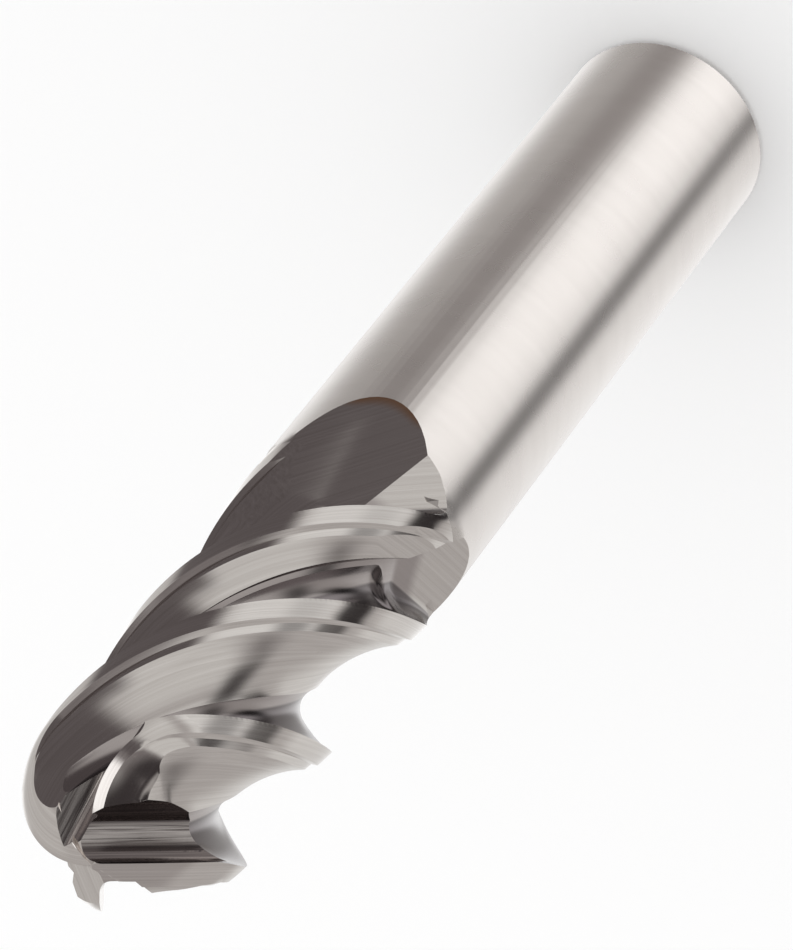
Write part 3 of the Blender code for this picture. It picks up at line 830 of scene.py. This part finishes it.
def flute_flow(sizes, slots, centres, owner, place):
    """Points of the lands turned back by the mean lead, or of the flutes in the nearest wheel's section."""
    down = sizes.length - place[:, 2]
    lead = math.pi * sizes.diameter / tand(float(np.mean(sizes.helix)))
    turned = (place[:, 0] + 1j * place[:, 1]) * polar(1.0, 360.0 * down / lead)
    azimuth = np.degrees(np.arctan2(centres[:, 1], centres[:, 0]))
    held = np.minimum(sizes.length - centres[:, 2], sizes.floor_exit)
    for slot, aim, frame in ((BACK, -sizes.back_angle, back_frame), (ROOT, sizes.floor_angle, floor_frame)):
        off = [np.abs((azimuth - aim - edge_turn(sizes, tooth, held) + 180.0) % 360.0 - 180.0)
               for tooth in range(TEETH)]
        nearest = np.argmin(off, axis=0)[owner]
        frames = np.stack([frame(sizes, tooth, place, down) for tooth in range(TEETH)])
        turned = np.where(slots[owner] == slot, frames[nearest, np.arange(len(nearest))], turned)
    return np.stack([turned.real, turned.imag, down], axis=1)


def gash_flow(sizes, in_gash, centres, owner, place):
    """Points along the axes of a gash: the one whose profile lies nearest, or just ahead on the lands."""
    nose = nose_point(sizes)
    azimuth = np.degrees(np.arctan2(centres[:, 1], centres[:, 0]))
    away, behind, along = [], [], []
    for tooth in range(TEETH):
        axes = np.stack(gash_axes(sizes, tooth), axis=1)
        across, into = ((centres - nose) @ axes)[:, :2].T
        start, deep, far, foot = gash_floor(sizes, tooth)
        level = between(deep, foot, np.clip((across - start) / (far - start), 0.0, 1.0))
        leaning = far + np.clip(foot - into, 0.0, None) * tand(sizes.gash_far[tooth])
        before = across - sizes.gash_ahead[tooth]
        misses = np.abs(np.stack([before, into - level, across - leaning]))
        away.append(misses.min(axis=0) + np.clip(across - leaning, 0.0, None) + np.clip(-before, 0.0, None))
        face = edge_turn(sizes, tooth, sizes.diameter / 2) - sizes.gash_turn[tooth] + 90.0
        behind.append((face - azimuth + FACE_SPARE) % 360.0)
        along.append((place - nose) @ axes)
    own = np.where(in_gash, np.argmin(away, axis=0), np.argmin(behind, axis=0))[owner]
    return np.stack(along)[own, np.arange(len(own))]


def store_flow(mesh, sizes):
    """Stores at each corner of a face a point whose third number runs along the wheel's marks.

    On the lands the marks follow the helix, in the flutes the wheel's rise and turn, in the gashes
    their run, and on the ball's lands the edge, as the point is measured square to the gash face.
    """
    slots = read(mesh.polygons, "material_index", 1, np.int32)
    centres = read(mesh.polygons, "center", 3)
    owner = np.repeat(np.arange(len(slots)), read(mesh.polygons, "loop_total", 1, np.int32))
    place = read(mesh.vertices, "co", 3)[read(mesh.loops, "vertex_index", 1, np.int32)]
    in_gash = slots >= GASH
    on_ball = (slots == LAND) & (sizes.length - centres[:, 2] < sizes.diameter / 2)
    local = gash_flow(sizes, in_gash, centres, owner, place)
    flow = np.where(in_gash[owner][:, None], local, flute_flow(sizes, slots, centres, owner, place))
    flow = np.where(on_ball[owner][:, None], local * np.array([1.0, 0.0, 1.0]), flow)
    attribute = mesh.attributes.new("wheel_flow", "FLOAT_VECTOR", "CORNER")
    attribute.data.foreach_set("vector", flow.astype(np.float32).ravel())


def part_named(name):
    made = bpy.data.objects.get(name)
    if made is None:
        raise RuntimeError(f"{name} has to be made first")
    return made


class MILL_OT_blank(bpy.types.Operator):
    """Make the relieved blank: shank, lands on the cylinder and on the ball"""

    bl_idname = "mill.blank"
    bl_label = "Relieved blank"

    def execute(self, context):
        sizes, finish = context.scene.mill_sizes, context.scene.mill_finish
        materials = make_finishes(finish, sizes)
        grid = blank_surface(sizes)
        made = closed_mesh("mill_blank", grid, materials, nose_point(sizes))
        face_out(made)
        down = sizes.length - read(made.data.polygons, "center", 3)[:, 2]
        below = down > sizes.cut_length + sizes.land_runout / 2
        made.data.polygons.foreach_set("material_index", below.astype(np.int32))
        return {"FINISHED"}


class MILL_OT_wheels(bpy.types.Operator):
    """Make the cuts of the back wheels, the root wheels and the gash wheels"""

    bl_idname = "mill.wheels"
    bl_label = "Grinding wheels"

    def execute(self, context):
        sizes = context.scene.mill_sizes
        finishes = list(part_named("mill_blank").data.materials)
        radius = sizes.diameter / 2
        floor_end = sizes.floor_exit + (radius - sizes.floor_depth) / tand(sizes.floor_exit_slope) + STEP
        for tooth in range(TEETH):
            rise = radius - sizes.back_depth
            back_end = sizes.back_exit[tooth] + rise / tand(sizes.back_exit_slope[tooth]) + STEP
            sweep_wheel(f"wheel_1_back_{tooth}", sizes, back_section, tooth, back_end, [finishes[BACK]])
            sweep_wheel(f"wheel_2_root_{tooth}", sizes, root_section, tooth, floor_end, [finishes[ROOT]])
            gash_wheel(f"wheel_3_gash_{tooth}", sizes, tooth, [finishes[GASH_SLOT[tooth]]])
        return {"FINISHED"}


class MILL_OT_grind(bpy.types.Operator):
    """Grind the blank with every wheel, and let the ground tool stand for the CAD node"""

    bl_idname = "mill.grind"
    bl_label = "Grind"

    def execute(self, context):
        sizes = context.scene.mill_sizes
        blank = part_named("mill_blank")
        wheels = sorted((o for o in bpy.data.objects if o.name.startswith("wheel_")), key=lambda o: o.name)
        for wheel in wheels:
            cut = blank.modifiers.new(wheel.name, "BOOLEAN")
            cut.operation = "DIFFERENCE"
            cut.solver = "EXACT"
            cut.material_mode = "TRANSFER"
            cut.object = wheel
        ground = bpy.data.meshes.new_from_object(blank.evaluated_get(context.evaluated_depsgraph_get()))
        ground.name = "ground_end_mill"
        if len(ground.polygons) < LEAST_FACES:
            raise RuntimeError("the wheels took the blank away")
        piece = bpy.data.objects.new("ground_end_mill", ground)
        context.scene.collection.objects.link(piece)
        for spent in wheels + [blank]:
            bpy.data.objects.remove(spent, do_unlink=True)
        store_flow(ground, sizes)
        mark_creases(ground)
        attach(piece, "root")
        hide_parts("end_mill")
        return {"FINISHED"}


def stage_object(name, points, faces, material):
    mesh = bpy.data.meshes.new(name)
    mesh.from_pydata(points.reshape(-1, 3).tolist(), [], faces)
    mesh.materials.append(material)
    mesh.shade_smooth()
    made = bpy.data.objects.new(name, mesh)
    bpy.context.scene.collection.objects.link(made)
    return made


def dome_surface(look):
    """Closed dome round the tool: points at one radius from its centre, over turns and heights."""
    turn = np.linspace(0.0, 360.0, 73)[None, :-1]
    height = np.linspace(-89.0, 89.0, 37)[:, None]
    grid = on_rings(cosd(height), turn + 0.0 * height, sind(height))
    faces = np.stack(cells(*grid.shape[:2]), axis=1)
    return grid * look.dome_radius + np.array([0.0, 0.0, look.dome_centre]), faces.tolist()


# Cards on the dome, each laid over those before it: turn about the tool and height above level of its
# middle, half its width and height, softness of its sides and of its ends, lean, brightness
CARDS = (
    (0, -52, 200, 7, 10, 5, 0, 1.30),
    (136, -38, 46, 8, 10, 8, 0, 0.80),
    (140, -66, 50, 8, 8, 4, 0, 0.56),
    (136, 50, 50, 34, 10, 6, 0, 0.42),
    (50, -4, 17, 38, 6, 6, 0, 0.62),
    (80, -40, 14, 24, 6, 10, 0, 1.15),
    (66, -54, 20, 7, 16, 4, 0, 1.34),
    (-104, -5, 42, 28, 16, 6, 0, 0.74),
    (-100, -36, 38, 12, 12, 6, 0, 0.88),
    (-104, -60, 34, 15, 18, 4, 0, 1.60),
    (-88, -22, 34, 4, 10, 4, 0, 0.50),
    (2, -54, 36, 11, 34, 4, 0, 0.62),
    (-38, -54, 24, 11, 16, 4, 0, 0.42),
    (-14, -14, 42, 31, 8, 6, 0, 0.13),
    (-42, 14, 34, 9, 8, 5, 0, 0.13),
    (-160, -54, 7, 9, 14, 4, 0, 0.02),
    (-160, -5, 10, 4, 14, 6, 0, 0.12),
    (-153, -42, 12, 9, 6, 6, 0.5, 0.03),
    (-148, -70, 22, 9, 8, 5, 0, 0.14),
    (-135, -23, 13, 11, 8, 6, -1.6, 0.04),
    (-82, 26, 66, 6, 8, 4, 0, 0.22),
    (-143, 38, 23, 14.5, 8, 3, 0, 0.05),
    (-104, 46, 14, 8, 6, 5, 0, 0.03),
    (-38, 52, 20, 24, 6, 5, 0, 1.36),
)


def warm(level):
    """Colour of a brightness: the darker, the warmer."""
    shade = max(0.0, 1.0 - level)
    return level, level * (1.0 - 0.16 * shade * shade), level * (1.0 - 0.12 * shade), 1.0


def dome_material(look):
    """Light of the dome, which only reflections see: soft cards, bright and dark, by turn and height."""
    material = bpy.data.materials.new("dome_light")
    material.use_nodes = True
    tree = material.node_tree
    nodes, links = tree.nodes, tree.links
    nodes.clear()
    away = add_node(nodes, "ShaderNodeVectorMath", operation="SUBTRACT")
    away.inputs[1].default_value = (0.0, 0.0, look.dome_centre)
    links.new(object_vector(tree), away.inputs[0])
    straight = add_node(nodes, "ShaderNodeVectorMath", operation="NORMALIZE")
    links.new(away.outputs["Vector"], straight.inputs[0])
    aim = parted(tree, straight.outputs["Vector"])
    turn = worked_out(tree, "DEGREES", worked_out(tree, "ARCTAN2", aim["Y"], aim["X"]))
    height = worked_out(tree, "DEGREES", worked_out(tree, "ARCSINE", aim["Z"]))
    colour = warm(look.dome_level)
    for card_turn, card_height, width, tall, side, end, lean, level in CARDS:
        above = worked_out(tree, "SUBTRACT", height, card_height)
        middle = worked_out(tree, "MULTIPLY_ADD", above, lean, card_turn)
        across = worked_out(tree, "WRAP", worked_out(tree, "SUBTRACT", turn, middle), 180.0, -180.0)
        sides = ranged(tree, worked_out(tree, "ABSOLUTE", across), width + side, width - side)
        ends = ranged(tree, worked_out(tree, "ABSOLUTE", above), tall + end, tall - end)
        inside = worked_out(tree, "MULTIPLY", sides, ends)
        colour = mixed(tree, inside, colour, warm(level))
    light = add_node(nodes, "ShaderNodeEmission")
    links.new(colour, light.inputs["Color"])
    output = add_node(nodes, "ShaderNodeOutputMaterial")
    links.new(light.outputs["Emission"], output.inputs["Surface"])
    return material


# Camera: where it stands, in tool diameters, its axes, its lens in millimetres and what it sees in metres
CAMERA_PLACE = (0.0, -17.7721, 24.1285)
CAMERA_AXES = ((-0.78728, 0.61659, 0.0), (-0.47001, -0.60020, -0.64719), (-0.39910, -0.50949, 0.76233))
CAMERA_LENS = 285.6
CAMERA_NEAR, CAMERA_FAR = 0.01, 10.0

# Half of the floor's side, in metres
FLOOR_HALF = 2.0


class MILL_OT_stage(bpy.types.Operator):
    """Set the floor, the dome of light, the background and the camera"""

    bl_idname = "mill.stage"
    bl_label = "Stage"

    def execute(self, context):
        scene, look = context.scene, context.scene.mill_studio
        floor_material, nodes, links, shader = new_material("studio_floor", look.floor, 0.9)
        shader.inputs["Metallic"].default_value = 0.0
        shader.inputs["Specular IOR Level"].default_value = 0.1
        corners = FLOOR_HALF * np.array([(-1.0, -1.0, 0.0), (1.0, -1.0, 0.0),
                                         (1.0, 1.0, 0.0), (-1.0, 1.0, 0.0)])
        floor = stage_object("studio_floor", corners, [(0, 1, 2, 3)], floor_material)
        floor.visible_glossy = False
        grid, faces = dome_surface(look)
        dome = stage_object("reflection_dome", grid, faces, dome_material(look))
        dome.visible_camera = False
        dome.visible_diffuse = False
        dome.visible_shadow = False
        dome.visible_transmission = False
        dome.visible_volume_scatter = False

        world = bpy.data.worlds.new("studio_air")
        scene.world = world
        world.use_nodes = True
        world.node_tree.nodes["Background"].inputs["Color"].default_value = look.backdrop
        world.node_tree.nodes["Background"].inputs["Strength"].default_value = 1.0

        lens = bpy.data.cameras.new("photo_camera")
        lens.sensor_fit = "HORIZONTAL"
        lens.sensor_width = 36.0
        lens.lens = CAMERA_LENS
        lens.clip_start = CAMERA_NEAR
        lens.clip_end = CAMERA_FAR
        camera = bpy.data.objects.new("photo_camera", lens)
        scene.collection.objects.link(camera)
        diameter = scene.mill_sizes.diameter
        rows = [list(axes) + [place * diameter] for axes, place in zip(CAMERA_AXES, CAMERA_PLACE)]
        camera.matrix_world = Matrix(rows + [[0.0, 0.0, 0.0, 1.0]])
        scene.camera = camera
        scene.view_settings.view_transform = "Standard"
        return {"FINISHED"}


class MILL_PT_panel(bpy.types.Panel):
    """Sizes, finish and steps of the end mill"""

    bl_idname = "MILL_PT_panel"
    bl_label = "End Mill"
    bl_space_type = "VIEW_3D"
    bl_region_type = "UI"
    bl_category = "End Mill"

    def draw(self, context):
        for group in (context.scene.mill_sizes, context.scene.mill_finish, context.scene.mill_studio):
            box = self.layout.box()
            for key in group.__annotations__:
                box.prop(group, key)
        for step in STEPS:
            self.layout.operator(step.bl_idname)


STEPS = (MILL_OT_blank, MILL_OT_wheels, MILL_OT_grind, MILL_OT_stage)
CLASSES = (MillSizes, MillFinish, StudioLook) + STEPS + (MILL_PT_panel,)


def register():
    for item in CLASSES:
        bpy.utils.register_class(item)
    bpy.types.Scene.mill_sizes = bpy.props.PointerProperty(type=MillSizes)
    bpy.types.Scene.mill_finish = bpy.props.PointerProperty(type=MillFinish)
    bpy.types.Scene.mill_studio = bpy.props.PointerProperty(type=StudioLook)


def unregister():
    del bpy.types.Scene.mill_studio
    del bpy.types.Scene.mill_finish
    del bpy.types.Scene.mill_sizes
    for item in reversed(CLASSES):
        bpy.utils.unregister_class(item)


def main():
    register()
    bpy.ops.mill.blank()
    bpy.ops.mill.wheels()
    bpy.ops.mill.grind()
    bpy.ops.mill.stage()


if __name__ == "__main__":
    main()
